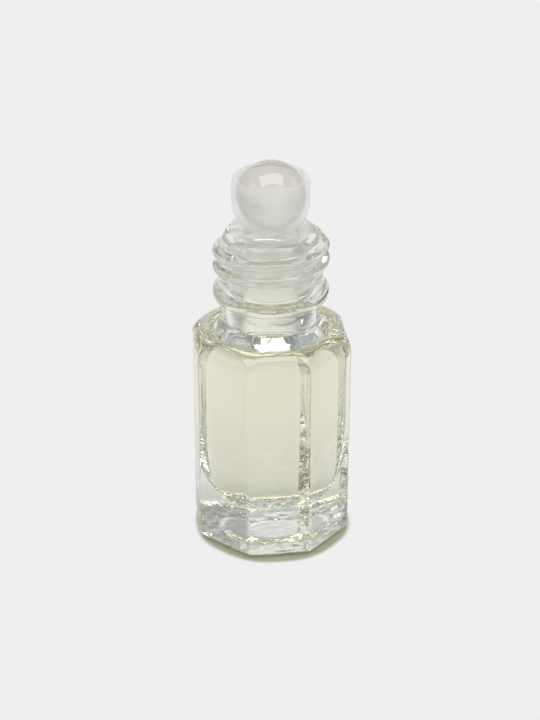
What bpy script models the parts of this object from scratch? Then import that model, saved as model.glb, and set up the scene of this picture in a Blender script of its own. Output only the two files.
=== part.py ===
"""A small roll-on perfume oil bottle: eight-sided glass, its oil, the roller housing and its ball.

Metres, +Z up. The bottle stands on its base at z = 0 with its axis on Z, and a flat face looks along -Y.
"""

from math import asin, atan, cos, pi, radians, sin, sqrt, tan

import bmesh
import bpy
from mathutils import Vector

# Glass body
BODY_ACROSS_FLATS = 0.0174
BODY_EDGE_RADIUS = 0.0008
BODY_STRAIGHT_HEIGHT = 0.0234
HEEL_RADIUS = 0.0008
SHOULDER_RISE = 0.0023
SHOULDER_CREST_RADIUS = 0.0070
PUSH_UP_RADIUS = 0.0043
PUSH_UP_DEPTH = 0.0005

# Hollow for the oil
WALL = 0.0015
CAVITY_EDGE_RADIUS = 0.0018
CAVITY_FLOOR_RADIUS = 0.0046
CAVITY_FLOOR_RISE = 0.0090
BASE_THICKNESS = 0.0043
CAVITY_SHOULDER_DROP = 0.0018

# Neck
NECK_HEIGHT = 0.0116
NECK_RADIUS = 0.0061
NECK_WAIST_RADIUS = 0.0056
NECK_WAIST_RISE = 0.0018
NECK_BORE_RADIUS = 0.0031
NECK_GROOVE_DEPTH = 0.0008
NECK_GROOVE_WIDTH = 0.0002
BEAD_DEPTH = 0.0007
BEAD_HALF_HEIGHT = 0.00085
BEAD_RISE = 0.0044
THREAD_ROOT_RADIUS = 0.0058
THREAD_DEPTH = 0.0007
THREAD_HALF_WIDTH = 0.00055
THREAD_PITCH = 0.00182
THREAD_TURNS = 2.0
THREAD_RISE = 0.0070
THREAD_START_ANGLE = radians(172)
THREAD_FADE_TURNS = 0.14
THREAD_BITE = 0.0004
LIP_RADIUS = 0.00545
LIP_BAND_HEIGHT = 0.0012
LIP_ROUNDING = 0.0011
LIP_BORE_ROUNDING = 0.0003

# Oil
OIL_LEVEL_BELOW_NECK = 0.0012
OIL_GAP = 0.0003

# Roller housing and ball
BALL_RADIUS = 0.0038
BALL_CLEARANCE = 0.00012
BALL_LIFT = 0.00385
MOUTH_GRIP = 0.0002
CUP_WALL = 0.0004
CUP_CORNER_DROP = 0.0004
CUP_FOOT_RADIUS = 0.0022
RIM_RISE = 0.0009
RIM_CREST = 0.0007
FLANGE_RADIUS = 0.0047
FLANGE_THICKNESS = 0.0003
SEAT_GAP = 0.0003
PLUG_CLEARANCE = 0.0003
PLUG_WALL = 0.0010
PLUG_LENGTH = 0.0075
PLUG_CHAMFER = 0.0005
PLUG_THROAT_RADIUS = 0.0013
PLUG_THROAT_HEIGHT = 0.0009
RIB_HEIGHT = 0.00025
RIB_HALF_WIDTH = 0.00035
RIB_SPACING = 0.0019
RIB_TOP_DROP = 0.0012
RIB_COUNT = 3

# How finely round shapes are drawn
SIDES = 8
FLAT_SHARES = (-1.0, -0.5, 0.0, 0.5, 1.0)
ARC_STEPS = 5
THREAD_STEPS_PER_TURN = 40
THREAD_PROFILE_STEPS = 5
BALL_SEGMENTS = 36
BALL_RINGS = 18
SMOOTH_ANGLE = radians(28)

# Heights worked out from the sizes above
BODY_HALF = BODY_ACROSS_FLATS / 2
CAVITY_HALF = BODY_HALF - WALL
NECK_FOOT_Z = BODY_STRAIGHT_HEIGHT + SHOULDER_RISE
LIP_TOP_Z = NECK_FOOT_Z + NECK_HEIGHT
BEAD_Z = NECK_FOOT_Z + BEAD_RISE
THREAD_START_Z = NECK_FOOT_Z + THREAD_RISE
CAVITY_SHOULDER_Z = BODY_STRAIGHT_HEIGHT - CAVITY_SHOULDER_DROP
OIL_TOP_Z = NECK_FOOT_Z - OIL_LEVEL_BELOW_NECK
CUP_FLOOR_Z = LIP_TOP_Z + SEAT_GAP
BALL_Z = CUP_FLOOR_Z + BALL_LIFT
PLUG_END_Z = CUP_FLOOR_Z - PLUG_LENGTH
FLANGE_TOP_Z = CUP_FLOOR_Z + FLANGE_THICKNESS

# Radii of the housing, worked out from the ball and from the neck's bore
SEAT_RADIUS = BALL_RADIUS + BALL_CLEARANCE
MOUTH_RADIUS = BALL_RADIUS - MOUTH_GRIP
MOUTH_Z = BALL_Z + sqrt(SEAT_RADIUS**2 - MOUTH_RADIUS**2)
CUP_RADIUS = SEAT_RADIUS + CUP_WALL
RIB_RADIUS = NECK_BORE_RADIUS - PLUG_CLEARANCE
PLUG_RADIUS = RIB_RADIUS - RIB_HEIGHT
PLUG_BORE_RADIUS = PLUG_RADIUS - PLUG_WALL


def clear_scene():
    for thing in list(bpy.data.objects):
        bpy.data.objects.remove(thing)


def flat_angles():
    """Angles from -Y towards +X: every flat's points, then the corner that follows it."""
    side = 2 * pi / SIDES
    flat_end = atan((BODY_HALF - BODY_EDGE_RADIUS) * tan(side / 2) / BODY_HALF)
    angles = []
    for number in range(SIDES):
        middle = number * side
        angles += [middle + share * flat_end for share in FLAT_SHARES]
        angles.append(middle + side / 2)
    return angles


def even_angles():
    """As many angles as the flats have, spread evenly round, with the same ones mid-flat."""
    count = SIDES * (len(FLAT_SHARES) + 1)
    middle_index = len(FLAT_SHARES) // 2
    return [2 * pi * (index - middle_index) / count for index in range(count)]


FLAT_ANGLES = flat_angles()
EVEN_ANGLES = even_angles()


def octagon_radius(angle, half_flats, edge_radius):
    """Distance from the axis to a regular octagon with rounded corners, in the direction of the angle."""
    side = 2 * pi / SIDES
    from_flat = (angle + side / 2) % side - side / 2
    core = half_flats - edge_radius
    if abs(from_flat) <= atan(core * tan(side / 2) / half_flats):
        return half_flats / cos(from_flat)
    corner = core / cos(side / 2)
    from_corner = side / 2 - abs(from_flat)
    return corner * cos(from_corner) + sqrt(edge_radius**2 - (corner * sin(from_corner)) ** 2)


def octagon_ring(z, half_flats, edge_radius):
    return [(octagon_radius(angle, half_flats, edge_radius), angle, z) for angle in FLAT_ANGLES]


def round_ring(z, radius):
    return [(radius, angle, z) for angle in EVEN_ANGLES]


def blended_ring(z, radius, outer_ring, share):
    """A ring between a circle and the given ring: share 0 is the circle, and 1 the ring."""
    ring = []
    for (reach, angle, _), even in zip(outer_ring, EVEN_ANGLES):
        ring.append((radius + (reach - radius) * share, even + (angle - even) * share, z))
    return ring


def arc(centre_r, centre_z, radius_r, radius_z, start, end, steps=ARC_STEPS):
    """Points (r, z) along an arc: its angle is 0 straight out and a quarter turn straight up."""
    points = []
    for step in range(steps + 1):
        angle = start + (end - start) * step / steps
        points.append((centre_r + radius_r * cos(angle), centre_z + radius_z * sin(angle)))
    return points


def shoulder_rings(foot_z, rise, foot_ring, top_radius):
    """Rings that close the body in from its foot ring to a round top, along a quarter of an ellipse."""
    rings = []
    for share, height in arc(0, foot_z, 1, rise, 0, pi / 2, ARC_STEPS + 2)[1:]:
        rings.append(blended_ring(height, top_radius, foot_ring, share))
    return rings


def mesh_from_rings(name, rings, through_hole):
    """A closed surface through the rings: the ends are capped, or meet each other round a through hole."""
    shape = bmesh.new()
    rows = []
    for ring in rings:
        rows.append([shape.verts.new((r * sin(angle), -r * cos(angle), z)) for r, angle, z in ring])
    pairs = list(zip(rows, rows[1:]))
    if through_hole:
        pairs.append((rows[-1], rows[0]))
    for lower, upper in pairs:
        for index in range(len(lower)):
            after = (index + 1) % len(lower)
            shape.faces.new((lower[index], lower[after], upper[after], upper[index]))
    if not through_hole:
        shape.faces.new(rows[0])
        shape.faces.new(rows[-1])
    bmesh.ops.recalc_face_normals(shape, faces=shape.faces)
    mesh = bpy.data.meshes.new(name)
    shape.to_mesh(mesh)
    shape.free()
    return mesh


def material(name, colour, roughness, transmission=0.0, refraction=1.45):
    made = bpy.data.materials.new(name)
    made.use_nodes = True
    surface = made.node_tree.nodes["Principled BSDF"]
    surface.inputs["Base Color"].default_value = (*colour, 1.0)
    surface.inputs["Roughness"].default_value = roughness
    surface.inputs["Metallic"].default_value = 0.0
    surface.inputs["Transmission Weight"].default_value = transmission
    surface.inputs["IOR"].default_value = refraction
    made.diffuse_color = (*colour, 1.0)
    return made


def place(name, mesh, finish, parent=None):
    mesh.shade_smooth()
    mesh.set_sharp_from_angle(angle=SMOOTH_ANGLE)
    piece = bpy.data.objects.new(name, mesh)
    piece.data.materials.append(finish)
    bpy.context.scene.collection.objects.link(piece)
    piece.parent = parent
    return piece


def joint_empty(name, location, parent=None):
    """An empty on a joint's axis, which carries the pieces that move on it."""
    marker = bpy.data.objects.new(name, None)
    marker.location = location
    marker.parent = parent
    bpy.context.scene.collection.objects.link(marker)
    return marker


def bottle_outside():
    """Rings up the outside: the push-up under the base, the heel, the eight flats, shoulder and neck."""
    rings = [
        round_ring(PUSH_UP_DEPTH, PUSH_UP_RADIUS - PUSH_UP_DEPTH),
        round_ring(0, PUSH_UP_RADIUS),
    ]
    for inset, z in arc(HEEL_RADIUS, HEEL_RADIUS, -HEEL_RADIUS, HEEL_RADIUS, -pi / 2, 0):
        rings.append(octagon_ring(z, BODY_HALF - inset, BODY_EDGE_RADIUS))
    foot = octagon_ring(BODY_STRAIGHT_HEIGHT, BODY_HALF, BODY_EDGE_RADIUS)
    rings.append(foot)
    rings += shoulder_rings(BODY_STRAIGHT_HEIGHT, SHOULDER_RISE, foot, SHOULDER_CREST_RADIUS)
    return rings


def neck_profile():
    """Points (r, z) down into the groove round the neck's foot, up the waisted neck and over the lip."""
    groove_r = NECK_RADIUS + NECK_GROOVE_WIDTH
    groove_z = NECK_FOOT_Z - NECK_GROOVE_DEPTH
    crest = SHOULDER_CREST_RADIUS
    points = arc(crest, groove_z, groove_r - crest, NECK_GROOVE_DEPTH, pi / 2, 0, 3)[1:]
    points.append((NECK_RADIUS, groove_z))
    for step in range(ARC_STEPS):
        share = (1 + cos(pi * step / (ARC_STEPS - 1))) / 2
        radius = NECK_WAIST_RADIUS + (NECK_RADIUS - NECK_WAIST_RADIUS) * share
        points.append((radius, NECK_FOOT_Z + NECK_WAIST_RISE * step / (ARC_STEPS - 1)))
    points += arc(THREAD_ROOT_RADIUS, BEAD_Z, BEAD_DEPTH, BEAD_HALF_HEIGHT, -pi / 2, pi / 2, 2 * ARC_STEPS)
    band_z = LIP_TOP_Z - LIP_BAND_HEIGHT
    points.append((THREAD_ROOT_RADIUS, band_z - (THREAD_ROOT_RADIUS - LIP_RADIUS)))
    points.append((LIP_RADIUS, band_z))
    edge = LIP_RADIUS - LIP_ROUNDING
    points += arc(edge, LIP_TOP_Z - LIP_ROUNDING, LIP_ROUNDING, LIP_ROUNDING, 0, pi / 2)
    bore_edge = NECK_BORE_RADIUS + LIP_BORE_ROUNDING
    inner_z = LIP_TOP_Z - LIP_BORE_ROUNDING
    points += arc(bore_edge, inner_z, LIP_BORE_ROUNDING, LIP_BORE_ROUNDING, pi / 2, pi, 3)
    return points


def cavity_rings(inset, top_z=None):
    """Rings round the hollow from the floor up, drawn in by the inset. A top height cuts them off level."""
    half = CAVITY_HALF - inset
    edge = CAVITY_EDGE_RADIUS - inset
    floor_z = BASE_THICKNESS + inset
    radius = CAVITY_FLOOR_RADIUS - inset
    rise = CAVITY_FLOOR_RISE - inset
    rings = []
    for reach, z in arc(half - radius, floor_z + rise, radius, rise, -pi / 2, 0, ARC_STEPS + 2):
        rings.append(octagon_ring(z, reach, min(edge, reach)))
    foot = octagon_ring(CAVITY_SHOULDER_Z, half, edge)
    rings.append(foot)
    shoulder_rise = NECK_FOOT_Z - CAVITY_SHOULDER_Z
    bore = NECK_BORE_RADIUS - inset
    rings += shoulder_rings(CAVITY_SHOULDER_Z - inset, shoulder_rise, foot, bore)
    if top_z is None:
        return rings
    return cut_level(rings, top_z)


def cut_level(rings, top_z):
    """The rings below a height, and one at it, between the two rings that it lies between."""
    below = [ring for ring in rings if ring[0][2] < top_z]
    above = rings[len(below)]
    last = below[-1]
    share = (top_z - last[0][2]) / (above[0][2] - last[0][2])
    cut = [(low[0] + (high[0] - low[0]) * share, low[1], top_z) for low, high in zip(last, above)]
    return below + [cut]


def thread_mesh():
    """A right-handed rounded ridge round the neck, which fades out at both ends."""
    shape = bmesh.new()
    steps = int(round(THREAD_TURNS * THREAD_STEPS_PER_TURN))
    rows = []
    for step in range(steps + 1):
        turned = THREAD_TURNS * step / steps
        fade = min(1.0, min(turned, THREAD_TURNS - turned) / THREAD_FADE_TURNS)
        angle = THREAD_START_ANGLE + 2 * pi * turned
        middle_z = THREAD_START_Z + THREAD_PITCH * turned
        inner = THREAD_ROOT_RADIUS - THREAD_BITE
        size = THREAD_BITE / 2 + (THREAD_DEPTH + THREAD_BITE / 2) * fade
        half_width = THREAD_HALF_WIDTH * (1 + fade) / 2
        profile = arc(inner, middle_z, size, half_width, -pi / 2, pi / 2, THREAD_PROFILE_STEPS)
        rows.append([shape.verts.new((r * sin(angle), -r * cos(angle), z)) for r, z in profile])
    for lower, upper in zip(rows, rows[1:]):
        for index in range(len(lower)):
            after = (index + 1) % len(lower)
            shape.faces.new((lower[index], lower[after], upper[after], upper[index]))
    shape.faces.new(rows[0])
    shape.faces.new(rows[-1])
    bmesh.ops.recalc_face_normals(shape, faces=shape.faces)
    mesh = bpy.data.meshes.new("thread_ridge")
    shape.to_mesh(mesh)
    shape.free()
    return mesh


def make_bottle():
    """The moulded glass: its outside, the neck finish with bead, thread and lip, and the hollow inside."""
    glass = material("clear_flint_glass", (0.88, 0.91, 0.85), 0.03, 1.0, 1.52)
    rings = bottle_outside()
    rings += [round_ring(z, r) for r, z in neck_profile()]
    rings += reversed(cavity_rings(0))
    bottle = place("glass_bottle", mesh_from_rings("glass_bottle", rings, False), glass)
    ridge = place("thread_ridge", thread_mesh(), glass, bottle)
    ridge.hide_render = True
    ridge.display_type = "WIRE"
    union = bottle.modifiers.new("thread", "BOOLEAN")
    union.operation = "UNION"
    union.solver = "EXACT"
    union.object = ridge
    return bottle


def make_oil(bottle):
    """The oil, filling the hollow to just under the foot of the neck."""
    oil = material("pale_perfume_oil", (0.84, 0.80, 0.58), 0.05, 0.9, 1.46)
    mesh = mesh_from_rings("perfume_oil", cavity_rings(OIL_GAP, OIL_TOP_Z), False)
    return place("perfume_oil", mesh, oil, bottle)


def cup_profile():
    """Points (r, z) from the plug's root, round the flange, up the cup and over its rim to the mouth."""
    edge = FLANGE_THICKNESS / 2
    points = [(PLUG_RADIUS, CUP_FLOOR_Z)]
    points += arc(FLANGE_RADIUS - edge, CUP_FLOOR_Z + edge, edge, edge, -pi / 2, pi / 2, 4)
    corner_z = BALL_Z - CUP_CORNER_DROP
    corner_reach = CUP_RADIUS - CUP_FOOT_RADIUS
    corner_rise = corner_z - FLANGE_TOP_Z
    points += arc(CUP_FOOT_RADIUS, corner_z, corner_reach, corner_rise, -pi / 2, 0, 2 * ARC_STEPS)
    top_z = MOUTH_Z + RIM_CREST
    crest_r = (MOUTH_RADIUS + CUP_RADIUS) / 2
    points += arc(crest_r, top_z - RIM_RISE, CUP_RADIUS - crest_r, RIM_RISE, 0, pi / 2)
    points += arc(crest_r, MOUTH_Z, MOUTH_RADIUS - crest_r, RIM_CREST, pi / 2, 0, 2)[1:]
    return points


def seat_profile():
    """Points (r, z) down the round seat from the mouth to the plug's bore."""
    above = asin((MOUTH_Z - BALL_Z) / SEAT_RADIUS)
    below = -asin(sqrt(SEAT_RADIUS**2 - PLUG_BORE_RADIUS**2) / SEAT_RADIUS)
    return arc(0, BALL_Z, SEAT_RADIUS, SEAT_RADIUS, above, below, 2 * ARC_STEPS)[1:]


def plug_profile():
    """Points (r, z) down the plug's bore to its throat, and up its ribbed outside to the cup."""
    throat_z = PLUG_END_Z + PLUG_THROAT_HEIGHT
    points = [
        (PLUG_BORE_RADIUS, throat_z + PLUG_BORE_RADIUS - PLUG_THROAT_RADIUS),
        (PLUG_THROAT_RADIUS, throat_z),
        (PLUG_THROAT_RADIUS, PLUG_END_Z),
        (PLUG_RADIUS - PLUG_CHAMFER, PLUG_END_Z),
        (PLUG_RADIUS, PLUG_END_Z + PLUG_CHAMFER),
    ]
    for number in reversed(range(RIB_COUNT)):
        rib_z = CUP_FLOOR_Z - RIB_TOP_DROP - number * RIB_SPACING
        points += arc(PLUG_RADIUS, rib_z, RIB_HEIGHT, RIB_HALF_WIDTH, -pi / 2, pi / 2, 4)
    return points


def make_housing(parent):
    """The moulded plastic fitment: a bowl that grips the ball, on a thin flange and a ribbed hollow plug."""
    plastic = material("natural_polyethylene", (0.80, 0.81, 0.78), 0.38, 0.35, 1.51)
    points = cup_profile() + seat_profile() + plug_profile()
    rings = [round_ring(z, r) for r, z in points]
    mesh = mesh_from_rings("roller_housing", rings, True)
    mesh.transform(parent.matrix_world.inverted())
    return place("roller_housing", mesh, plastic, parent)


def make_ball(parent):
    """The glass ball, with its origin on the axis that it rolls about."""
    glass = material("polished_ball_glass", (0.82, 0.82, 0.76), 0.02, 0.9, 1.52)
    shape = bmesh.new()
    bmesh.ops.create_uvsphere(
        shape, u_segments=BALL_SEGMENTS, v_segments=BALL_RINGS, radius=BALL_RADIUS
    )
    mesh = bpy.data.meshes.new("roller_ball")
    shape.to_mesh(mesh)
    shape.free()
    return place("roller_ball", mesh, glass, parent)


clear_scene()
glass_bottle = make_bottle()
make_oil(glass_bottle)
fitment_axis = joint_empty("fitment_pull_axis", Vector((0, 0, CUP_FLOOR_Z)))
bpy.context.view_layer.update()
make_housing(fitment_axis)
ball_axis = joint_empty("ball_roll_axis", Vector((0, 0, BALL_Z - CUP_FLOOR_Z)), fitment_axis)
make_ball(ball_axis)
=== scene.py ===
"""Looks of a small roll-on perfume oil bottle, in metres, +Z up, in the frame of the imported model."""

from math import atan, atan2, cos, pi, radians, sin, sqrt, tan

import bpy
import numpy as np
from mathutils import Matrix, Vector


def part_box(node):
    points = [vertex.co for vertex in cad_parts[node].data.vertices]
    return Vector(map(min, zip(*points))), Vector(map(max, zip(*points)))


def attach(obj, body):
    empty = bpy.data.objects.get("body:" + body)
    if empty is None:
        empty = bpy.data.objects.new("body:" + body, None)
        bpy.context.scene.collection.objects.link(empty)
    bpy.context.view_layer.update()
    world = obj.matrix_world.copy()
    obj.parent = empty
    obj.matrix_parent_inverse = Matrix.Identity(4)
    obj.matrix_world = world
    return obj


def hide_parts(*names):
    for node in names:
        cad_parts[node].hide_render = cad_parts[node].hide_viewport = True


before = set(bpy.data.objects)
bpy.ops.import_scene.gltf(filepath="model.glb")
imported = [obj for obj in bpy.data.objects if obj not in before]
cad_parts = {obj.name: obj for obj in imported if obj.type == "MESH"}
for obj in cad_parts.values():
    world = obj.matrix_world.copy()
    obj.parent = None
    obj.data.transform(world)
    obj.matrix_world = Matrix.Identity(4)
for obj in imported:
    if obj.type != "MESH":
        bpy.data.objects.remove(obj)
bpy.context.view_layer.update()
MM = 0.001

# Camera
# The photograph looks down on the bottle from close by, a little to the left of the front flat.
FRAME_HEIGHT_PX = 720
FOCAL_PX = 1789.5
SENSOR_MM = 36.0
CLIP_START = 1.0 * MM
CAMERA_REACH = 180.0 * MM
CAMERA_HEIGHT = 116.67 * MM
CAMERA_PITCH = radians(27.96)
CAMERA_TURN = radians(6.45)
CAMERA_PAN = radians(0.033)

lens = bpy.data.cameras.new("studio_camera")
lens.sensor_width = SENSOR_MM
lens.lens = FOCAL_PX / FRAME_HEIGHT_PX * SENSOR_MM
lens.clip_start = CLIP_START
camera = bpy.data.objects.new("studio_camera", lens)
bpy.context.scene.collection.objects.link(camera)
camera.location = (-CAMERA_REACH * sin(CAMERA_TURN), -CAMERA_REACH * cos(CAMERA_TURN), CAMERA_HEIGHT)
camera.rotation_euler = (pi / 2 - CAMERA_PITCH, 0, -CAMERA_TURN + CAMERA_PAN)
bpy.context.scene.camera = camera

# Glass bottle
# One piece of clear moulded flint glass: eight flats with softened corners, a rounded shoulder, and a neck
# with a transfer bead, a two-turn thread and a rolled lip. The mould left slow waves in the flats and a
# coarse crinkle on the ring that the bottle stands on. Below the oil's level the inside is wetted.
_, bottle_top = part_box("glass_bottle")
_, oil_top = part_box("perfume_oil")
BODY_HALF = bottle_top.x
LIP_TOP = bottle_top.z
OIL_LEVEL = oil_top.z
HAIR = 0.001 * MM

SIDES = 8
SIDE_ANGLE = 2 * pi / SIDES
CORNER_RADIUS = 0.8 * MM
BODY_TOP = 23.4 * MM
HEEL_RADIUS = 0.8 * MM
SHOULDER_RISE = 2.3 * MM
CREST = BODY_TOP + SHOULDER_RISE
CREST_RADIUS = 7.0 * MM
PUSH_UP_RADIUS = 4.3 * MM
PUSH_UP_TOP_RADIUS = 2.9 * MM
PUSH_UP_DEPTH = 0.5 * MM

WALL = 1.5 * MM
CAVITY_CORNER_RADIUS = 1.8 * MM
CAVITY_FLOOR = 4.3 * MM
CAVITY_FLOOR_ROUNDING = 4.6 * MM
CAVITY_FLOOR_RISE = 9.0 * MM
CAVITY_SHOULDER_DROP = 1.8 * MM
CAVITY_SHOULDER = BODY_TOP - CAVITY_SHOULDER_DROP
BORE_RADIUS = 3.1 * MM
MENISCUS_RISE = 0.25 * MM
WET_TOP = OIL_LEVEL + MENISCUS_RISE
ALL_WET_SHARE = 0.999

NECK_RADIUS = 6.1 * MM
WAIST_RADIUS = 5.6 * MM
WAIST_RISE = 1.8 * MM
GROOVE_DEPTH = 0.8 * MM
GROOVE_WIDTH = 0.2 * MM
ROOT_RADIUS = 5.8 * MM
BEAD_RISE = 4.4 * MM
BEAD_HEIGHT = CREST + BEAD_RISE
BEAD_DEPTH = 0.7 * MM
BEAD_HALF = 0.85 * MM
LIP_RADIUS = 5.45 * MM
LIP_BAND = 1.2 * MM
LIP_ROUNDING = 1.1 * MM
LIP_MARGIN = 0.2 * MM
MOUTH_ROUNDING = 0.3 * MM

THREAD_RISE = 7.0 * MM
THREAD_PITCH = 1.82 * MM
THREAD_DEPTH = 0.7 * MM
THREAD_HALF = 0.72 * MM
THREAD_FULLNESS = 0.8
THREAD_TURNS = 2.0
THREAD_ANGLE = radians(172)
THREAD_FADE_TURNS = 0.16
CRINKLE_DEPTH = 0.40 * MM
CRINKLE_GRAIN = 1.7 * MM
CRINKLE_FINE_DEPTH = 0.06 * MM
CRINKLE_FINE_GRAIN = 0.8 * MM

GLASS_IOR = 1.52
OIL_IOR = 1.46
FLINT_TINT = "fbfcf6"
WAVE_WIDTH = 1.6 * MM
WAVE_SHARES = (1.0, 1.0, 0.12)
WAVE_DEPTH = 0.02 * MM
WAVE_STRENGTH = 0.3
LUMP_WIDTH = 0.9 * MM
LUMP_DEPTH = 0.08 * MM
LUMP_STRENGTH = 0.8
LUMPS_START = 2.4 * MM
LUMPS_FULL = 1.0 * MM
# Painted shade: olive-grey patches on the ring that the bottle stands on.
HEEL_SHADE_GRAIN = 1.3 * MM
HEEL_SHADE_EDGES = (0.45, 0.60)
HEEL_SHADE_SHARE = 0.12
PAINTED_HEEL_SHADE = "c4c5b0"
BASE_SHADE = "8e9080"
WALL_SHADE = "fcfcfa"
BASE_SHADE_TOP = 4.0 * MM
WALL_SHADE_FOOT = 9.0 * MM
WETTED_SHADE = "fbfbf6"

FLAT_STEPS = 14
CORNER_STEPS = 14
PUSH_UP_SHARES = (0.05, 0.3, 0.6, 0.85, 1.0)
PUSH_UP_STEPS = 8
RING_STEPS = 19
HEEL_STEPS = 9
BODY_STEPS = 8
SHOULDER_STEPS = 26
CREST_STEPS = 8
GROOVE_STEPS = 6
WAIST_STEPS = 14
TAPER_STEPS = 7
BEAD_STEPS = 24
THREAD_STEPS = 57
LIP_STEPS = 12
MOUTH_STEPS = 6
BORE_SHARES = (0.25, 0.5, 0.75)
FLOOR_SHARES = (0.04, 0.25, 0.5, 0.75)
FLOOR_STEPS = 28
CAVITY_SHOULDER_STEPS = 30


def ring_angles():
    """Angles round the body, crowded into the corners, and as many angles spread evenly."""
    flat_end = atan((BODY_HALF - CORNER_RADIUS) * tan(SIDE_ANGLE / 2) / BODY_HALF)
    crowded = []
    for number in range(SIDES):
        middle = number * SIDE_ANGLE
        for step in range(FLAT_STEPS):
            crowded.append(middle - flat_end + 2 * flat_end * step / FLAT_STEPS)
        for step in range(CORNER_STEPS):
            crowded.append(middle + flat_end + (SIDE_ANGLE - 2 * flat_end) * step / CORNER_STEPS)
    count = SIDES * (FLAT_STEPS + CORNER_STEPS)
    even = 2 * pi * (np.arange(count) - FLAT_STEPS / 2) / count
    return np.array(crowded), even


CROWDED, EVEN = ring_angles()


def octagon_ring(height, half, corner):
    """Radii, angles and height of a ring round a regular octagon with rounded corners."""
    off = np.abs((CROWDED + SIDE_ANGLE / 2) % SIDE_ANGLE - SIDE_ANGLE / 2)
    core = half - corner
    to_corner = SIDE_ANGLE / 2 - off
    centre = core / cos(SIDE_ANGLE / 2)
    reach = np.sqrt(np.maximum(corner**2 - (centre * np.sin(to_corner)) ** 2, 0))
    rounded = centre * np.cos(to_corner) + reach
    flat = off <= atan(core * tan(SIDE_ANGLE / 2) / half)
    return np.where(flat, half / np.cos(off), rounded), CROWDED, np.full_like(off, height)


def round_ring(height, radius):
    """Radii, angles and height of a circle."""
    return np.full_like(EVEN, radius), EVEN, np.full_like(EVEN, height)


def eased_ring(height, radius, foot, share):
    """A ring part of the way from a circle, at share 0, to the foot ring, at share 1."""
    radii, angles, _ = foot
    return radius + (radii - radius) * share, EVEN + (angles - EVEN) * share, np.full_like(EVEN, height)


def arc(centre, radii, start, end, steps):
    """Points (r, z) along an arc from one angle to another: 0 is straight out, a quarter turn is up."""
    turns = np.linspace(start, end, steps + 1)
    return [(centre[0] + radii[0] * cos(turn), centre[1] + radii[1] * sin(turn)) for turn in turns]


def shoulder(foot, foot_height, rise, radius, steps):
    """Rings that close in from the foot ring to a circle, along a quarter of an ellipse."""
    curve = arc((0, foot_height), (1, rise), 0, pi / 2, steps)[1:]
    return [eased_ring(height, radius, foot, share) for share, height in curve]


def surface_mesh(name, rings, looped=False):
    """A closed mesh through the rings. The first and last rings end in a point on the axis, or meet."""
    corners = []
    for radii, angles, heights in rings:
        corners.append(np.stack([radii * np.sin(angles), -radii * np.cos(angles), heights], axis=1))
    count = len(corners[0])
    points = np.concatenate(corners)
    faces = []
    pairs = len(rings) if looped else len(rings) - 1
    for row in range(pairs):
        low = row * count
        high = (row + 1) % len(rings) * count
        for index in range(count):
            after = (index + 1) % count
            faces.append((low + index, low + after, high + after, high + index))
    if not looped:
        last = (len(rings) - 1) * count
        poles = [[0, 0, corners[0][:, 2].mean()], [0, 0, corners[-1][:, 2].mean()]]
        points = np.concatenate([points, poles])
        for index in range(count):
            faces.append(((index + 1) % count, index, len(points) - 2))
        for index in range(count):
            faces.append((last + index, last + (index + 1) % count, len(points) - 1))
    mesh = bpy.data.meshes.new(name)
    mesh.from_pydata(points.tolist(), [], faces)
    mesh.shade_smooth()
    piece = bpy.data.objects.new(name, mesh)
    bpy.context.scene.collection.objects.link(piece)
    return piece


def neck_points():
    """Points (r, z) up the outside of the neck, over the lip and into the bore."""
    groove_radius = NECK_RADIUS + GROOVE_WIDTH
    groove_height = CREST - GROOVE_DEPTH
    fall = (groove_radius - CREST_RADIUS, GROOVE_DEPTH)
    points = arc((CREST_RADIUS, groove_height), fall, pi / 2, 0, CREST_STEPS)[1:]
    half = GROOVE_WIDTH / 2
    points += arc((groove_radius - half, groove_height), (half, -half), 0, pi, GROOVE_STEPS)[1:]
    for share in np.linspace(0, 1, WAIST_STEPS + 1):
        radius = WAIST_RADIUS + (NECK_RADIUS - WAIST_RADIUS) * (1 + cos(pi * share)) / 2
        points.append((radius, CREST + WAIST_RISE * share))
    for share in np.linspace(0, 1, TAPER_STEPS + 1)[1:-1]:
        height = CREST + WAIST_RISE + (BEAD_HEIGHT - BEAD_HALF - CREST - WAIST_RISE) * share
        points.append((WAIST_RADIUS + (ROOT_RADIUS - WAIST_RADIUS) * share, height))
    points += arc((ROOT_RADIUS, BEAD_HEIGHT), (BEAD_DEPTH, BEAD_HALF), -pi / 2, pi / 2, BEAD_STEPS)
    threaded_top = LIP_TOP - LIP_BAND - (ROOT_RADIUS - LIP_RADIUS)
    heights = np.linspace(BEAD_HEIGHT + BEAD_HALF, threaded_top, THREAD_STEPS + 1)[1:]
    points += [(ROOT_RADIUS, height) for height in heights]
    lip_foot = (LIP_RADIUS, LIP_TOP - LIP_BAND)
    points.append(((ROOT_RADIUS + LIP_RADIUS) / 2, (threaded_top + lip_foot[1]) / 2))
    points.append(lip_foot)
    edge = (LIP_RADIUS - LIP_ROUNDING, LIP_TOP - LIP_ROUNDING)
    points += arc(edge, (LIP_ROUNDING, LIP_ROUNDING), 0, pi / 2, LIP_STEPS)
    edge = (BORE_RADIUS + MOUTH_ROUNDING, LIP_TOP - MOUTH_ROUNDING)
    points += arc(edge, (MOUTH_ROUNDING, MOUTH_ROUNDING), pi / 2, pi, MOUTH_STEPS)
    return points


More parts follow.
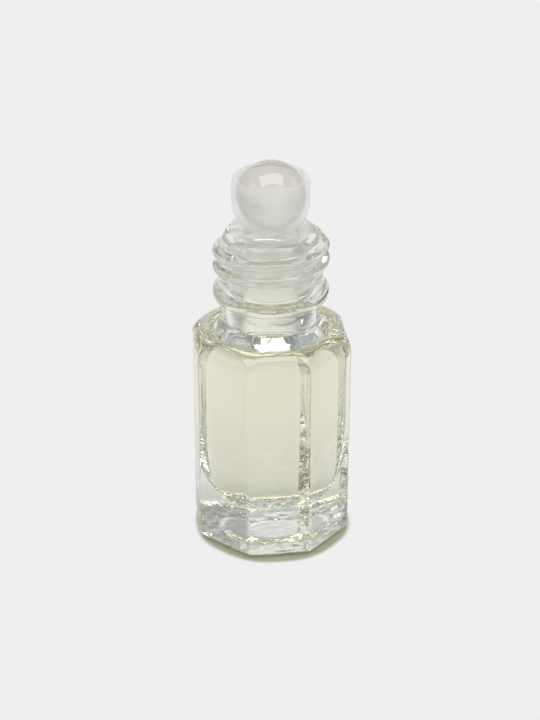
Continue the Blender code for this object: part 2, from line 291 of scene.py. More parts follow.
def cavity_rings(outset):
    """Rings up the inside of the glass, from the middle of the floor to the foot of the bore."""
    half = BODY_HALF - WALL + outset
    corner = CAVITY_CORNER_RADIUS + outset
    rounding = CAVITY_FLOOR_ROUNDING + outset
    rise = CAVITY_FLOOR_RISE + outset
    rings = []
    for share in FLOOR_SHARES:
        flat = (half - rounding) * share
        rings.append(octagon_ring(CAVITY_FLOOR - outset, flat, flat))
    centre = (half - rounding, CAVITY_FLOOR + CAVITY_FLOOR_RISE)
    for reach, height in arc(centre, (rounding, rise), -pi / 2, 0, FLOOR_STEPS):
        rings.append(octagon_ring(height, reach, min(corner, reach)))
    foot = octagon_ring(CAVITY_SHOULDER, half, corner)
    rings.append(foot)
    closing = (CAVITY_SHOULDER + outset, CREST - CAVITY_SHOULDER, BORE_RADIUS + outset)
    rings += shoulder(foot, *closing, CAVITY_SHOULDER_STEPS)
    dry = next(index for index, ring in enumerate(rings) if ring[2][0] > WET_TOP)
    low, high = rings[dry - 1], rings[dry]
    share = (WET_TOP - low[2][0]) / (high[2][0] - low[2][0])
    rings.insert(dry, tuple(below + (above - below) * share for below, above in zip(low, high)))
    return rings


def bottle_rings():
    """Rings from under the base, up the outside and down the bore, and rings from there down the hollow."""
    rings = []
    for share in PUSH_UP_SHARES:
        rings.append(round_ring(PUSH_UP_DEPTH, PUSH_UP_TOP_RADIUS * share))
    for share in np.linspace(0, 1, PUSH_UP_STEPS + 1)[1:]:
        radius = PUSH_UP_TOP_RADIUS + (PUSH_UP_RADIUS - PUSH_UP_TOP_RADIUS) * share
        rings.append(round_ring(PUSH_UP_DEPTH * (1 + cos(pi * share)) / 2, radius))
    heel = octagon_ring(0, BODY_HALF - HEEL_RADIUS, CORNER_RADIUS)
    for share in np.linspace(0, 1, RING_STEPS + 1)[1:-1]:
        rings.append(eased_ring(0, PUSH_UP_RADIUS, heel, share))
    heel_curve = arc((HEEL_RADIUS, HEEL_RADIUS), (-HEEL_RADIUS, HEEL_RADIUS), -pi / 2, 0, HEEL_STEPS)
    for inset, height in heel_curve:
        rings.append(octagon_ring(height, BODY_HALF - inset, CORNER_RADIUS))
    for share in np.linspace(0, 1, BODY_STEPS + 1)[1:]:
        rings.append(octagon_ring(HEEL_RADIUS + (BODY_TOP - HEEL_RADIUS) * share, BODY_HALF, CORNER_RADIUS))
    rings += shoulder(rings[-1], BODY_TOP, SHOULDER_RISE, CREST_RADIUS, SHOULDER_STEPS)
    rings += [round_ring(height, radius) for radius, height in neck_points()]
    bore_top = LIP_TOP - MOUTH_ROUNDING
    for share in BORE_SHARES:
        rings.append(round_ring(bore_top + (CREST - bore_top) * share, BORE_RADIUS))
    return rings, cavity_rings(0)[::-1]


MATH = "ShaderNodeMath"
VECTOR_MATH = "ShaderNodeVectorMath"
MAP_RANGE = "ShaderNodeMapRange"
MIX_SHADER = "ShaderNodeMixShader"
NAMED_ATTRIBUTE = "GeometryNodeInputNamedAttribute"


def add_node(tree, kind, inputs=(), **settings):
    """Adds a node with its properties. Its inputs are values, sockets or nodes, in order or by name."""
    node = tree.nodes.new(kind)
    for name, value in settings.items():
        setattr(node, name, value)
    pairs = inputs.items() if isinstance(inputs, dict) else enumerate(inputs)
    for name, value in pairs:
        if isinstance(value, bpy.types.Node):
            value = value.outputs[0]
        if isinstance(value, bpy.types.NodeSocket):
            tree.links.new(value, node.inputs[name])
        else:
            node.inputs[name].default_value = value
    return node


def linear(hex_colour):
    """An sRGB hex colour as the linear colour that a shader takes."""
    shades = []
    for start in (0, 2, 4):
        shade = int(hex_colour[start:start + 2], 16) / 255
        shades.append(shade / 12.92 if shade <= 0.04045 else ((shade + 0.055) / 1.055) ** 2.4)
    return (*shades, 1.0)


def moulding_tree():
    """Geometry nodes that raise the thread round the neck and crinkle the ring under the base."""
    tree = bpy.data.node_groups.new("glass_moulding", "GeometryNodeTree")
    sizes = {
        "Pitch": THREAD_PITCH,
        "Depth": THREAD_DEPTH,
        "Half width": THREAD_HALF,
        "Fullness": THREAD_FULLNESS,
        "Start height": CREST + THREAD_RISE,
        "Start angle": THREAD_ANGLE,
        "Turns": THREAD_TURNS,
        "Fade": THREAD_FADE_TURNS,
        "Crinkle depth": CRINKLE_DEPTH,
        "Crinkle grain": CRINKLE_GRAIN,
        "Fine depth": CRINKLE_FINE_DEPTH,
        "Fine grain": CRINKLE_FINE_GRAIN,
    }
    tree.interface.new_socket("Geometry", in_out="INPUT", socket_type="NodeSocketGeometry")
    for name, value in sizes.items():
        socket = tree.interface.new_socket(name, in_out="INPUT", socket_type="NodeSocketFloat")
        socket.default_value = value
    tree.interface.new_socket("Dry glass", in_out="INPUT", socket_type="NodeSocketMaterial")
    tree.interface.new_socket("Wet glass", in_out="INPUT", socket_type="NodeSocketMaterial")
    tree.interface.new_socket("Geometry", in_out="OUTPUT", socket_type="NodeSocketGeometry")
    given = add_node(tree, "NodeGroupInput").outputs
    place = add_node(tree, "GeometryNodeInputPosition")
    split = add_node(tree, "ShaderNodeSeparateXYZ", (place,)).outputs

    # The nearest turn of the thread, how far along the thread that is, and how far above or below it.
    to_front = add_node(tree, MATH, (split[1], -1.0), operation="MULTIPLY")
    angle = add_node(tree, MATH, (split[0], to_front), operation="ARCTAN2")
    from_start = add_node(tree, MATH, (angle, given["Start angle"]), operation="SUBTRACT")
    turned = add_node(tree, MATH, (from_start, 2 * pi), operation="DIVIDE")
    round_share = add_node(tree, MATH, (turned,), operation="FRACT")
    above_start = add_node(tree, MATH, (split[2], given["Start height"]), operation="SUBTRACT")
    height = add_node(tree, MATH, (above_start, given["Pitch"]), operation="DIVIDE")
    from_first = add_node(tree, MATH, (height, round_share), operation="SUBTRACT")
    turn = add_node(tree, MATH, (from_first,), operation="ROUND")
    off_share = add_node(tree, MATH, (from_first, turn), operation="SUBTRACT")
    off = add_node(tree, MATH, (off_share, given["Pitch"]), operation="MULTIPLY")
    along = add_node(tree, MATH, (round_share, turn), operation="ADD")

    # The thread rises from nothing at both ends, and its crest is a cosine that the fullness broadens.
    left = add_node(tree, MATH, (given["Turns"], along), operation="SUBTRACT")
    to_end = add_node(tree, MATH, (along, left), operation="MINIMUM")
    fade_in = {"Value": to_end, "From Max": given["Fade"]}
    fade = add_node(tree, MAP_RANGE, fade_in, interpolation_type="SMOOTHSTEP")
    across = add_node(tree, MATH, (off, given["Half width"]), operation="DIVIDE")
    either_way = add_node(tree, MATH, (across,), operation="ABSOLUTE")
    within = add_node(tree, MATH, (either_way, 1.0), operation="MINIMUM")
    quarter_turn = add_node(tree, MATH, (within, pi / 2), operation="MULTIPLY")
    crest = add_node(tree, MATH, (quarter_turn,), operation="COSINE")
    ridge = add_node(tree, MATH, (crest, given["Fullness"]), operation="POWER")
    faded = add_node(tree, MATH, (ridge, fade), operation="MULTIPLY")
    threaded = add_node(tree, NAMED_ATTRIBUTE, {"Name": "threaded"}, data_type="FLOAT")
    depth = add_node(tree, MATH, (given["Depth"], threaded), operation="MULTIPLY")
    lift = add_node(tree, MATH, (faded, depth), operation="MULTIPLY")
    outward = add_node(tree, "ShaderNodeCombineXYZ", (split[0], split[1]))
    unit = add_node(tree, VECTOR_MATH, (outward,), operation="NORMALIZE")
    ridge_move = add_node(tree, VECTOR_MATH, {0: unit, "Scale": lift}, operation="SCALE")

    # The crinkle is a coarse cell pattern with a finer grain on it, and lifts the ring straight up.
    grain = add_node(tree, MATH, (1.0, given["Crinkle grain"]), operation="DIVIDE")
    cells = {"Vector": place, "Scale": grain}
    facets = add_node(tree, "ShaderNodeTexVoronoi", cells, feature="SMOOTH_F1")
    fine_grain = add_node(tree, MATH, (1.0, given["Fine grain"]), operation="DIVIDE")
    fine = add_node(tree, "ShaderNodeTexNoise", {"Vector": place, "Scale": fine_grain})
    coarse_lift = add_node(tree, MATH, (facets, given["Crinkle depth"]), operation="MULTIPLY")
    fine_lift = add_node(tree, MATH, (fine, given["Fine depth"]), operation="MULTIPLY")
    rough_lift = add_node(tree, MATH, (coarse_lift, fine_lift), operation="ADD")
    crinkled = add_node(tree, NAMED_ATTRIBUTE, {"Name": "crinkled"}, data_type="FLOAT")
    ring_lift = add_node(tree, MATH, (rough_lift, crinkled), operation="MULTIPLY")
    crinkle_move = add_node(tree, "ShaderNodeCombineXYZ", {2: ring_lift})

    move = add_node(tree, VECTOR_MATH, (ridge_move, crinkle_move), operation="ADD")
    moved = add_node(tree, "GeometryNodeSetPosition", {"Geometry": given["Geometry"], "Offset": move})
    real = add_node(tree, "GeometryNodeRealizeInstances", {"Geometry": moved})
    dry_finish = {"Geometry": real, "Material": given["Dry glass"]}
    dry = add_node(tree, "GeometryNodeSetMaterial", dry_finish)
    wetted = add_node(tree, NAMED_ATTRIBUTE, {"Name": "wetted"}, data_type="FLOAT")
    wet_test = {"A": wetted, "B": ALL_WET_SHARE}
    all_wet = add_node(tree, "FunctionNodeCompare", wet_test, data_type="FLOAT", operation="GREATER_THAN")
    wet_finish = {"Geometry": dry, "Selection": all_wet, "Material": given["Wet glass"]}
    both = add_node(tree, "GeometryNodeSetMaterial", wet_finish)
    add_node(tree, "NodeGroupOutput", {"Geometry": both})
    return tree


def mark(piece, name, weights):
    """A vertex attribute from a weight for each vertex, or from True and False."""
    attribute = piece.data.attributes.new(name, "FLOAT", "POINT")
    attribute.data.foreach_set("value", np.asarray(weights, np.float32))


def bake(piece, tree, finishes):
    """Runs the tree on the piece and keeps the result as its plain mesh."""
    modifier = piece.modifiers.new("moulding", "NODES")
    modifier.node_group = tree
    for item in tree.interface.items_tree:
        if item.in_out == "INPUT" and item.name in finishes:
            modifier[item.identifier] = finishes[item.name]
    graph = bpy.context.evaluated_depsgraph_get()
    mesh = bpy.data.meshes.new_from_object(piece.evaluated_get(graph))
    piece.modifiers.remove(modifier)
    mesh.name = piece.name
    piece.data = mesh


def clear_material(name, ior, tint, shade):
    """A clear dielectric. Lamp light passes it straight, so that it lights what is behind it."""
    made = bpy.data.materials.new(name)
    made.use_nodes = True
    tree = made.node_tree
    surface = tree.nodes["Principled BSDF"]
    surface.inputs["Base Color"].default_value = linear(tint)
    surface.inputs["Roughness"].default_value = 0.0
    surface.inputs["IOR"].default_value = ior
    surface.inputs["Transmission Weight"].default_value = 1.0
    through = add_node(tree, "ShaderNodeBsdfTransparent", {"Color": linear(shade)})
    lamp_ray = add_node(tree, "ShaderNodeLightPath").outputs["Is Shadow Ray"]
    mixed = add_node(tree, MIX_SHADER, (lamp_ray, surface, through))
    tree.links.new(mixed.outputs[0], tree.nodes["Material Output"].inputs["Surface"])
    return made


def flint_glass():
    """Moulded flint glass: clear, with long upright waves in the flats and a restless, lumpy heel."""
    made = clear_material("moulded_flint_glass", GLASS_IOR, FLINT_TINT, WALL_SHADE)
    tree = made.node_tree
    clear = tree.nodes["Principled BSDF"]
    place = add_node(tree, "ShaderNodeTexCoord").outputs["Object"]
    height = add_node(tree, "ShaderNodeSeparateXYZ", (place,)).outputs[2]
    upright = add_node(tree, "ShaderNodeMapping", {"Vector": place, "Scale": WAVE_SHARES})
    slow_noise = {"Vector": upright, "Scale": 1 / WAVE_WIDTH, "Detail": 2.0, "Roughness": 0.45}
    waves = add_node(tree, "ShaderNodeTexNoise", slow_noise)
    slow_bump = {"Strength": WAVE_STRENGTH, "Distance": WAVE_DEPTH, "Height": waves}
    slow = add_node(tree, "ShaderNodeBump", slow_bump)
    heel = {"Value": height, "From Min": LUMPS_START, "From Max": LUMPS_FULL, "To Max": LUMP_STRENGTH}
    near_heel = add_node(tree, MAP_RANGE, heel, interpolation_type="SMOOTHSTEP")
    lumps = add_node(tree, "ShaderNodeTexNoise", {"Vector": place, "Scale": 1 / LUMP_WIDTH, "Detail": 2.0})
    heel_bump = {"Strength": near_heel, "Distance": LUMP_DEPTH, "Height": lumps, "Normal": slow}
    both = add_node(tree, "ShaderNodeBump", heel_bump)
    tree.links.new(both.outputs[0], clear.inputs["Normal"])
    # Olive-grey patches on the ring that the bottle stands on are painted shade, where the ring meets the
    # table.
    ring = add_node(tree, "ShaderNodeAttribute", attribute_name="crinkled").outputs["Fac"]
    shade_noise = add_node(tree, "ShaderNodeTexNoise", {"Vector": place, "Scale": 1 / HEEL_SHADE_GRAIN, "Detail": 3.0})
    patch = {"Value": shade_noise, "From Min": HEEL_SHADE_EDGES[0], "From Max": HEEL_SHADE_EDGES[1], "To Max": HEEL_SHADE_SHARE}
    cover = add_node(tree, MAP_RANGE, patch)
    shade_there = add_node(tree, MATH, (ring, cover), operation="MULTIPLY")
    painted_shade = add_node(tree, "ShaderNodeBsdfDiffuse", {"Color": linear(PAINTED_HEEL_SHADE)})
    shaded_heel = add_node(tree, MIX_SHADER, (shade_there, clear, painted_shade))
    tree.links.new(shaded_heel.outputs[0], tree.nodes["Mix Shader"].inputs[1])
    # The thick base throws lamp light aside, which leaves the table under it dark.
    up_the_wall = {"Value": height, "From Min": BASE_SHADE_TOP, "From Max": WALL_SHADE_FOOT}
    thin = add_node(tree, MAP_RANGE, up_the_wall)
    shades = {"Factor": thin, "A": linear(BASE_SHADE), "B": linear(WALL_SHADE)}
    shade = add_node(tree, "ShaderNodeMix", shades, data_type="RGBA")
    tree.links.new(shade.outputs["Result"], tree.nodes["Transparent BSDF"].inputs["Color"])
    return made


outside, inside = bottle_rings()
bottle = surface_mesh("moulded_bottle", outside + inside)
points = np.array([vertex.co for vertex in bottle.data.vertices])
reach = np.hypot(points[:, 0], points[:, 1])
on_thread = (points[:, 2] > BEAD_HEIGHT + BEAD_HALF) & (reach > LIP_RADIUS - LIP_MARGIN)
mark(bottle, "threaded", on_thread)
in_push_up = np.clip((reach - PUSH_UP_TOP_RADIUS) / (PUSH_UP_RADIUS - PUSH_UP_TOP_RADIUS), 0, 1)
mark(bottle, "crinkled", in_push_up * np.clip(1 - points[:, 2] / HEEL_RADIUS, 0, 1))
in_hollow = np.arange(len(points)) >= len(outside) * len(EVEN)
in_hollow[-2] = False
mark(bottle, "wetted", in_hollow & (points[:, 2] < WET_TOP + HAIR))
# Glass against oil bends light only as far as the two differ, so the wetted wall all but disappears.
wetted_glass = clear_material("oil_wetted_glass", GLASS_IOR / OIL_IOR, "ffffff", WETTED_SHADE)
bake(bottle, moulding_tree(), {"Dry glass": flint_glass(), "Wet glass": wetted_glass})
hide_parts("glass_bottle")
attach(bottle, "bottle")

# Perfume oil
# A pale cream-yellow oil that fills the hollow up to the shoulder and climbs the wall in a small meniscus.
# It stands a hair inside the wetted wall, which already bends the light, so its sides don't bend it again.
OIL_FILM = 0.02 * MM
MENISCUS_REACH = 0.9 * MM
MENISCUS_STEPS = 10
SURFACE_SHARES = (0.7, 0.4, 0.1)
OIL_COLOUR = "d9ce80"
OIL_DENSITY = 24.0
OIL_SHADE = "f4f0dc"


def oil_rings():
    """Rings up the oil's sides to the wetted edge, and rings over its open surface to the middle."""
    sides = [ring for ring in cavity_rings(-OIL_FILM) if ring[2][0] < WET_TOP + HAIR]
    wall, angles, _ = sides[-1]
    surface = []
    for share in np.linspace(0, 1, MENISCUS_STEPS + 1)[1:]:
        rise = MENISCUS_RISE * (1 - share) ** 2
        surface.append((wall - MENISCUS_REACH * share, angles, np.full_like(wall, OIL_LEVEL + rise)))
    for share in SURFACE_SHARES:
        surface.append(((wall - MENISCUS_REACH) * share, angles, np.full_like(wall, OIL_LEVEL)))
    return sides, surface


def perfume_oil():
    """Clear oil: its depth takes blue first, which leaves a cream that turns olive where light goes far."""
    made = clear_material("pale_perfume_oil", 1.0, "ffffff", OIL_SHADE)
    tree = made.node_tree
    side = tree.nodes["Principled BSDF"]
    glossy = add_node(tree, "ShaderNodeBsdfPrincipled")
    glossy.inputs["Base Color"].default_value = linear("ffffff")
    glossy.inputs["Roughness"].default_value = 0.0
    glossy.inputs["IOR"].default_value = OIL_IOR
    glossy.inputs["Transmission Weight"].default_value = 1.0
    open_surface = add_node(tree, "ShaderNodeAttribute", attribute_name="open_surface").outputs["Fac"]
    seen = add_node(tree, MIX_SHADER, (open_surface, side, glossy))
    tree.links.new(seen.outputs[0], tree.nodes["Mix Shader"].inputs[1])
    body_look = {"Color": linear(OIL_COLOUR), "Density": OIL_DENSITY}
    body = add_node(tree, "ShaderNodeVolumeAbsorption", body_look)
    tree.links.new(body.outputs[0], tree.nodes["Material Output"].inputs["Volume"])
    return made


oil_sides, oil_surface = oil_rings()
oil = surface_mesh("pale_oil_fill", oil_sides + oil_surface)
first_open = (len(oil_sides) - 1) * len(EVEN)
is_open = np.zeros(len(oil.data.polygons), np.float32)
is_open[first_open:first_open + len(oil_surface) * len(EVEN)] = 1.0
is_open[-len(EVEN):] = 1.0
oil.data.attributes.new("open_surface", "FLOAT", "FACE").data.foreach_set("value", is_open)
oil.data.materials.append(perfume_oil())
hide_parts("perfume_oil")
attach(oil, "bottle")

# Roller housing
# A one-piece fitment of natural low-density polyethylene: a round bowl whose thin rim was snapped over the
# ball, on a flange that lies on the lip, and a hollow plug with three sealing ribs. The moulding is satin,
# milky and lets light through, and the plug presses on the bore with a film of oil between them.
housing_low, housing_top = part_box("roller_housing")
ball_low, ball_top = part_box("roller_ball")
BALL_RADIUS = (ball_top.z - ball_low.z) / 2
BALL_HEIGHT = (ball_top.z + ball_low.z) / 2
BALL_CLEARANCE = 0.12 * MM
SEAT_RADIUS = BALL_RADIUS + BALL_CLEARANCE
MOUTH_GRIP = 0.2 * MM
MOUTH_RADIUS = BALL_RADIUS - MOUTH_GRIP
BOWL_WALL = 0.4 * MM
BOWL_RADIUS = SEAT_RADIUS + BOWL_WALL
BOWL_FOOT_RADIUS = 2.2 * MM
BOWL_CORNER_DROP = 0.4 * MM
BOWL_CORNER = BALL_HEIGHT - BOWL_CORNER_DROP
RIM_RISE = 0.9 * MM
FLANGE_RADIUS = 4.7 * MM
FLANGE_FILM = 0.01 * MM
FLANGE_THICKNESS = 0.32 * MM
FLANGE_UNDER = LIP_TOP + FLANGE_FILM
FLANGE_TOP = FLANGE_UNDER + FLANGE_THICKNESS
PLUG_PRESS = 0.012 * MM
PLUG_RADIUS = BORE_RADIUS + PLUG_PRESS
PLUG_BORE = 1.55 * MM
PLUG_END = housing_low.z
PLUG_CHAMFER = 0.5 * MM
THROAT_RADIUS = 1.3 * MM
THROAT_HEIGHT = 0.9 * MM
RIB_HEIGHT = 0.03 * MM
RIB_HALF = 0.35 * MM
RIB_DROP = 1.2 * MM
RIB_SPACING = 1.9 * MM
RIB_COUNT = 3
SEAM_DROP = 0.9 * MM
SEAM_HEIGHT = BALL_HEIGHT - SEAM_DROP
SEAM_DEPTH = 0.03 * MM
SEAM_HALF = 0.12 * MM
SHARP_ANGLE = radians(35)
MILKY_WHITE = "f4f4f0"
SATIN_GRAIN = 0.25 * MM
SATIN_DEPTH = 0.012 * MM
SATIN_STRENGTH = 0.25
SCATTER_DEPTH = 1.0 * MM

FLANGE_STEPS = 10
BOWL_STEPS = 80
RIM_OUTER_STEPS = 12
RIM_INNER_STEPS = 8
SEAT_STEPS = 40
RIB_STEPS = 8


def bowl_outside():
    """Points (r, z) up the bowl from the flange to its upright wall, with the mould's faint seam."""
    points = []
    sweep = (BOWL_RADIUS - BOWL_FOOT_RADIUS, BOWL_CORNER - FLANGE_TOP)
    for radius, height in arc((BOWL_FOOT_RADIUS, BOWL_CORNER), sweep, -pi / 2, 0, BOWL_STEPS):
        off = min(abs(height - SEAM_HEIGHT) / SEAM_HALF, 1.0)
        points.append((radius - SEAM_DEPTH * (1 - off), height))
    return points


def housing_points():
    """Points (r, z) round the housing: out round the flange, up the bowl, down the seat and up the plug."""
    edge = (FLANGE_TOP - FLANGE_UNDER) / 2
    points = [(PLUG_RADIUS, FLANGE_UNDER)]
    flange_end = (FLANGE_RADIUS - edge, FLANGE_UNDER + edge)
    points += arc(flange_end, (edge, edge), -pi / 2, pi / 2, FLANGE_STEPS)
    points += bowl_outside()
    mouth = BALL_HEIGHT + sqrt(SEAT_RADIUS**2 - MOUTH_RADIUS**2)
    crest = (MOUTH_RADIUS + BOWL_RADIUS) / 2
    top = housing_top.z
    points += arc((crest, top - RIM_RISE), (BOWL_RADIUS - crest, RIM_RISE), 0, pi / 2, RIM_OUTER_STEPS)
    points += arc((crest, mouth), (MOUTH_RADIUS - crest, top - mouth), pi / 2, 0, RIM_INNER_STEPS)[1:]
    above = atan2(mouth - BALL_HEIGHT, MOUTH_RADIUS)
    below = -atan2(sqrt(SEAT_RADIUS**2 - PLUG_BORE**2), PLUG_BORE)
    points += arc((0, BALL_HEIGHT), (SEAT_RADIUS, SEAT_RADIUS), above, below, SEAT_STEPS)[1:]
    throat = PLUG_END + THROAT_HEIGHT
    points.append((PLUG_BORE, throat + PLUG_BORE - THROAT_RADIUS))
    points.append((THROAT_RADIUS, throat))
    points.append((THROAT_RADIUS, PLUG_END))
    points.append((PLUG_RADIUS - PLUG_CHAMFER, PLUG_END))
    points.append((PLUG_RADIUS, PLUG_END + PLUG_CHAMFER))
    for number in reversed(range(RIB_COUNT)):
        rib = (PLUG_RADIUS, FLANGE_UNDER - RIB_DROP - number * RIB_SPACING)
        points += arc(rib, (RIB_HEIGHT, RIB_HALF), -pi / 2, pi / 2, RIB_STEPS)
    return points


def natural_polyethylene():
    """Natural polyethylene: milky and half clear, with a satin skin from the mould."""
    made = bpy.data.materials.new("natural_polyethylene")
    made.use_nodes = True
    tree = made.node_tree
    surface = tree.nodes["Principled BSDF"]
    surface.inputs["Base Color"].default_value = linear(MILKY_WHITE)
    surface.inputs["Alpha"].default_value = 0.30
    surface.inputs["Roughness"].default_value = 0.38
    surface.inputs["IOR"].default_value = 1.51
    surface.inputs["Transmission Weight"].default_value = 0.3
    surface.inputs["Subsurface Weight"].default_value = 0.5
    surface.inputs["Subsurface Scale"].default_value = SCATTER_DEPTH
    place = add_node(tree, "ShaderNodeTexCoord").outputs["Object"]
    grain = add_node(tree, "ShaderNodeTexNoise", {"Vector": place, "Scale": 1 / SATIN_GRAIN, "Detail": 3.0})
    skin_bump = {"Strength": SATIN_STRENGTH, "Distance": SATIN_DEPTH, "Height": grain}
    skin = add_node(tree, "ShaderNodeBump", skin_bump)
    tree.links.new(skin.outputs[0], surface.inputs["Normal"])
    return made


housing_rings = [round_ring(height, radius) for radius, height in housing_points()]
housing = surface_mesh("moulded_fitment", housing_rings, looped=True)
housing.data.materials.append(natural_polyethylene())
housing.data.set_sharp_from_angle(angle=SHARP_ANGLE)
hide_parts("roller_housing")
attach(housing, "fitment")

# Roller ball
# A ground and polished ball of clear soda glass that rolls in the cup and always carries a film of oil. It
# is slightly warmer than the bottle, and shows the room upside down with one sharp highlight on top.
BALL_STEPS = 72
BALL_TINT = "f6f5f0"
BALL_SHADE = "f8f8f4"

ball_points = arc((0, BALL_HEIGHT), (BALL_RADIUS, BALL_RADIUS), -pi / 2, pi / 2, BALL_STEPS)[1:-1]
ball = surface_mesh("polished_ball", [round_ring(height, radius) for radius, height in ball_points])
ball.data.materials.append(clear_material("polished_ball_glass", GLASS_IOR, BALL_TINT, BALL_SHADE))
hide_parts("roller_ball")
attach(ball, "ball")

# Table and backdrop
# A pale paper sweep with no edge in view. The camera sees it as one even pale tone, but for a narrow strip
# along the base that is painted shadow: a darker paper on which the lamps' real light and shade also fall.
BACKGROUND = "efefef"
PAPER = "e8e8e4"
# Painted shadow: the darker paper of the strip along the base.
PAINTED_SHADOW_PAPER = "b4b5a0"
TABLE_HALF = 700.0 * MM
TABLE_DROP = 0.05 * MM
SHADOW_WIDTH = 0.7 * MM
SHADOW_SHIFT = (0.12 * MM, -0.55 * MM, 0)
SHADOW_ROUNDING = 3.5 * MM
LEFT_DIM_SHARE = 0.5
RIGHT_DIM_SHARE = 0.34
TABLE_DIM_START = 20.0 * MM
TABLE_DIM_END = 160.0 * MM
# Tones of the table by distance from the middle, as gloss and glass show them: painted shade close to the
# bottle.
TABLE_TONES = (
    (0, "e8ecee"),
    (4.2 * MM, "d4d6d0"),
    (6.3 * MM, "868870"),
    (8.75 * MM, "bcbeb4"),
    (14.0 * MM, "e0e1e0"),
    (31.5 * MM, "efefed"),
    (210.0 * MM, "efefec"),
    (560.0 * MM, "e9e9e5"),
)


def octagon_reach(tree, place):
    """Distance from the middle, measured square to the nearest flat and eased round the corners."""
    widest = None
    for number in range(SIDES // 2):
        turn = number * SIDE_ANGLE
        outward = (sin(turn), -cos(turn), 0)
        across = add_node(tree, VECTOR_MATH, (place, outward), operation="DOT_PRODUCT").outputs["Value"]
        reach = add_node(tree, MATH, (across,), operation="ABSOLUTE")
        if widest:
            reach = add_node(tree, MATH, (widest, reach, SHADOW_ROUNDING), operation="SMOOTH_MAX")
        widest = reach
    return widest


def dimmed_aside(tree, across, start, end):
    """A strength that falls off to the left of the middle, and further to the right of it."""
    left = {"Value": across, "From Min": -start, "From Max": -end, "To Min": 1.0, "To Max": LEFT_DIM_SHARE}
    right = {"Value": across, "From Min": start, "From Max": end, "To Min": 1.0, "To Max": RIGHT_DIM_SHARE}
    shares = [add_node(tree, MAP_RANGE, side) for side in (left, right)]
    return add_node(tree, MATH, shares, operation="MULTIPLY")


def set_tones(stops, tones):
    """Gives a colour ramp its tones, from pairs of place and colour. The first one lies at 0."""
    stops.remove(stops[1])
    stops[0].color = linear(tones[0][1])
    for place, colour in tones[1:]:
        stops.new(place).color = linear(colour)


def paper_sweep():
    """Matt pale paper: even and shadowless to the camera, but for a strip of painted shadow at the base."""
    made = bpy.data.materials.new("pale_paper_sweep")
    made.use_nodes = True
    tree = made.node_tree
    tree.nodes.remove(tree.nodes["Principled BSDF"])
    place = add_node(tree, "ShaderNodeTexCoord").outputs["Object"]
    shifted = add_node(tree, VECTOR_MATH, (place, SHADOW_SHIFT), operation="SUBTRACT")
    reach = octagon_reach(tree, shifted)
    strip = {"Value": reach, "From Min": BODY_HALF, "From Max": BODY_HALF + SHADOW_WIDTH}
    away = add_node(tree, MAP_RANGE, strip, interpolation_type="SMOOTHSTEP")
    lit = add_node(tree, "ShaderNodeBsdfDiffuse", {"Color": linear(PAPER)})
    even = add_node(tree, "ShaderNodeEmission", {"Color": linear(BACKGROUND), "Strength": 1.0})
    # A darker paper painted as shadow in the strip along the base, still lit by the lamps.
    painted_shadow = add_node(tree, "ShaderNodeBsdfDiffuse", {"Color": linear(PAINTED_SHADOW_PAPER)})
    seen = add_node(tree, MIX_SHADER, (away, painted_shadow, even))
    far = add_node(tree, MAP_RANGE, {"Value": reach, "From Min": 0, "From Max": TABLE_HALF})
    tone = add_node(tree, "ShaderNodeValToRGB", (far,))
    set_tones(tone.color_ramp.elements, [(distance / TABLE_HALF, tint) for distance, tint in TABLE_TONES])
    aside = add_node(tree, "ShaderNodeSeparateXYZ", (place,)).outputs[0]
    dimmed = dimmed_aside(tree, aside, TABLE_DIM_START, TABLE_DIM_END)
    through = add_node(tree, "ShaderNodeEmission", {"Color": tone, "Strength": dimmed})
    rays = add_node(tree, "ShaderNodeLightPath").outputs
    sharp = add_node(tree, MATH, (rays["Is Glossy Ray"], rays["Is Transmission Ray"]), operation="MAXIMUM")
    traced = add_node(tree, MIX_SHADER, (sharp, lit, through))
    mixed = add_node(tree, MIX_SHADER, (rays["Is Camera Ray"], traced, seen))
    tree.links.new(mixed.outputs[0], tree.nodes["Material Output"].inputs["Surface"])
    return made


table_corners = []
for side_x, side_y in ((-1, -1), (1, -1), (1, 1), (-1, 1)):
    table_corners.append((side_x * TABLE_HALF, side_y * TABLE_HALF, -TABLE_DROP))
table_mesh = bpy.data.meshes.new("studio_table")
table_mesh.from_pydata(table_corners, [], [(0, 1, 2, 3)])
table_mesh.materials.append(paper_sweep())
table = bpy.data.objects.new("studio_table", table_mesh)
bpy.context.scene.collection.objects.link(table)

# Light
# A pale room, dimmer to the sides, with one wide soft box overhead and a weaker one on each side. In gloss
# and through glass the room shows its parts: the bright box, the greyer ceiling, and the grey opening for
# the lens. Directions are unit vectors, so their parts run from -1 to 1.
ROOM_COLOUR = "f4f5f6"
ROOM_STRENGTH = 1.0
ROOM_ASIDE_STRENGTH = 0.6
ROOM_DIM_START = 0.2
GLASS_DIM_START = 0.15
GLASS_DIM_END = 0.75
ROOM_TONES = ((0, "e9eae6"), (0.45, "ededeb"), (0.9, "8a9298"))
BOX_ASIDE = (0.60, 0.52)
BOX_NEAR = (-0.56, -0.48)
BOX_FAR = (0.14, 0.06)
BOX_LOW = (0.3, 0.5)
BOX_COLOUR = "ffffff"
BOX_GLARE = 3.4
BOX_THROUGH_GLASS = 1.15
LENS_WAY = (-0.10, -0.86, 0.49)
LENS_EDGE = (0.972, 0.985)
LENS_COLOUR = "7f8790"
AIM_HEIGHT = 25.0 * MM
# Name, place, size, how bright it looks, and whether gloss and glass show it.
SOFT_BOXES = (
    ("overhead_soft_box", (-20 * MM, -110 * MM, 480 * MM), (520 * MM, 260 * MM), 1.6, False),
    ("left_soft_box", (-480 * MM, -60 * MM, 240 * MM), (260 * MM, 260 * MM), 1.0, True),
    ("right_soft_box", (480 * MM, 60 * MM, 200 * MM), (260 * MM, 260 * MM), 0.9, True),
)


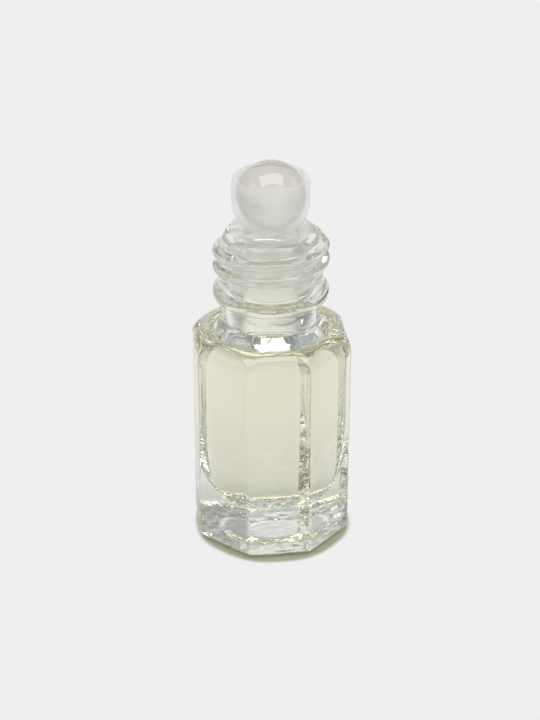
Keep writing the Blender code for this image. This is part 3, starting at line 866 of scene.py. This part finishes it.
def studio_room():
    """The room as the world: even to the camera, soft light to the matt parts, and its parts to glass."""
    world = bpy.data.worlds.new("pale_studio")
    bpy.context.scene.world = world
    world.use_nodes = True
    tree = world.node_tree
    direction = add_node(tree, "ShaderNodeTexCoord").outputs["Generated"]
    split = add_node(tree, "ShaderNodeSeparateXYZ", (direction,)).outputs
    aside = add_node(tree, MATH, (split[0],), operation="ABSOLUTE")
    dimming = {
        "Value": aside, "From Min": ROOM_DIM_START, "To Min": ROOM_STRENGTH, "To Max": ROOM_ASIDE_STRENGTH
    }
    room = tree.nodes["Background"]
    room.inputs["Color"].default_value = linear(ROOM_COLOUR)
    tree.links.new(add_node(tree, MAP_RANGE, dimming).outputs[0], room.inputs["Strength"])

    tone = add_node(tree, "ShaderNodeValToRGB", (split[2],))
    set_tones(tone.color_ramp.elements, ROOM_TONES)
    dimmed = dimmed_aside(tree, split[0], GLASS_DIM_START, GLASS_DIM_END)
    around = add_node(tree, "ShaderNodeBackground", {"Color": tone, "Strength": dimmed})

    in_box = None
    sides = ((aside, BOX_ASIDE), (split[1], BOX_NEAR), (split[1], BOX_FAR), (split[2], BOX_LOW))
    for value, (outer, inner) in sides:
        fall = {"Value": value, "From Min": outer, "From Max": inner}
        side = add_node(tree, MAP_RANGE, fall, interpolation_type="SMOOTHSTEP")
        in_box = add_node(tree, MATH, (in_box, side), operation="MULTIPLY") if in_box else side
    rays = add_node(tree, "ShaderNodeLightPath").outputs
    gloss = {"Value": rays["Is Glossy Ray"], "To Min": BOX_THROUGH_GLASS, "To Max": BOX_GLARE}
    strength = add_node(tree, MAP_RANGE, gloss)
    glare = add_node(tree, "ShaderNodeBackground", {"Color": linear(BOX_COLOUR), "Strength": strength})
    with_box = add_node(tree, MIX_SHADER, (in_box, around, glare))

    to_lens = add_node(tree, VECTOR_MATH, (direction, LENS_WAY), operation="DOT_PRODUCT").outputs["Value"]
    lens_fall = {"Value": to_lens, "From Min": LENS_EDGE[0], "From Max": LENS_EDGE[1]}
    in_lens = add_node(tree, MAP_RANGE, lens_fall, interpolation_type="SMOOTHSTEP")
    opening = add_node(tree, "ShaderNodeBackground", {"Color": linear(LENS_COLOUR), "Strength": 1.0})
    with_lens = add_node(tree, MIX_SHADER, (in_lens, with_box, opening))

    sharp = add_node(tree, MATH, (rays["Is Glossy Ray"], rays["Is Transmission Ray"]), operation="MAXIMUM")
    through = add_node(tree, MIX_SHADER, (sharp, room, with_lens))
    shown = add_node(tree, "ShaderNodeBackground", {"Color": linear(BACKGROUND), "Strength": 1.0})
    mixed = add_node(tree, MIX_SHADER, (rays["Is Camera Ray"], through, shown))
    tree.links.new(mixed.outputs[0], tree.nodes["World Output"].inputs["Surface"])


def soft_box(name, place, size, brightness, in_gloss):
    """A rectangular lamp that faces the bottle. Its power follows from its size and how bright it looks."""
    lamp = bpy.data.lights.new(name, "AREA")
    lamp.shape = "RECTANGLE"
    lamp.size, lamp.size_y = size
    lamp.energy = brightness * pi * size[0] * size[1]
    holder = bpy.data.objects.new(name, lamp)
    holder.location = place
    aim = Vector((0, 0, AIM_HEIGHT)) - Vector(place)
    holder.rotation_euler = aim.to_track_quat("-Z", "Y").to_euler()
    holder.visible_glossy = in_gloss
    holder.visible_transmission = in_gloss
    bpy.context.scene.collection.objects.link(holder)


studio_room()
for box in SOFT_BOXES:
    soft_box(*box)

# Clear pieces inside one another need many bounces before light comes out.
cycles = bpy.context.scene.cycles
cycles.max_bounces = 32
cycles.transmission_bounces = 32
cycles.glossy_bounces = 12
cycles.transparent_max_bounces = 16
bpy.context.scene.view_settings.view_transform = "Standard"
